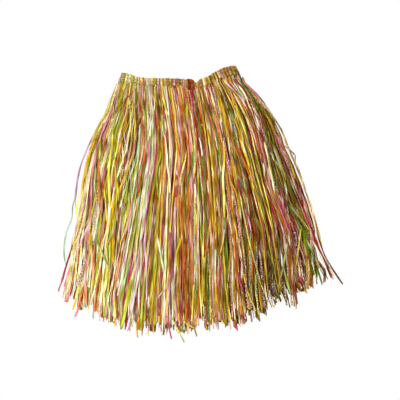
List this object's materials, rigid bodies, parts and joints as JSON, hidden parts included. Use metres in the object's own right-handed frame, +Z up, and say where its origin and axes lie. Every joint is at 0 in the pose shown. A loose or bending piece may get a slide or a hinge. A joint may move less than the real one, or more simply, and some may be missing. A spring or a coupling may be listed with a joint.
{
  "type": "grass skirt",
  "caption": "Grass skirt of multicoloured plastic-film strips on a gathered waist casing, lying flat with a ragged, flared fringe.",
  "frame": {"origin": "middle of the box's underside, on the surface that the skirt lies on", "axes": "+Z up from that surface, +Y towards the waist, +X to the right with the front up"},
  "size_m": [0.5116, 0.4856, 0.0208],
  "materials": {
    "casing_film": "glossy crinkled film in many colours, gathered",
    "closing_film": "glossy dark red film, folded",
    "back_film": "glossy crinkled film in many colours",
    "front_film": "glossy crinkled film in many colours",
    "loose_film": "glossy crinkled film in many colours"
  },
  "bodies": {
    "root": {"waistband": "casing_film", "closing_strip": "closing_film", "fringe_back_under": "back_film", "fringe_back_over": "back_film", "fringe_front_under": "front_film", "fringe_front_middle": "front_film", "fringe_front_over": "front_film", "fringe_loose_top": "loose_film"}
  },
  "joints": []
}
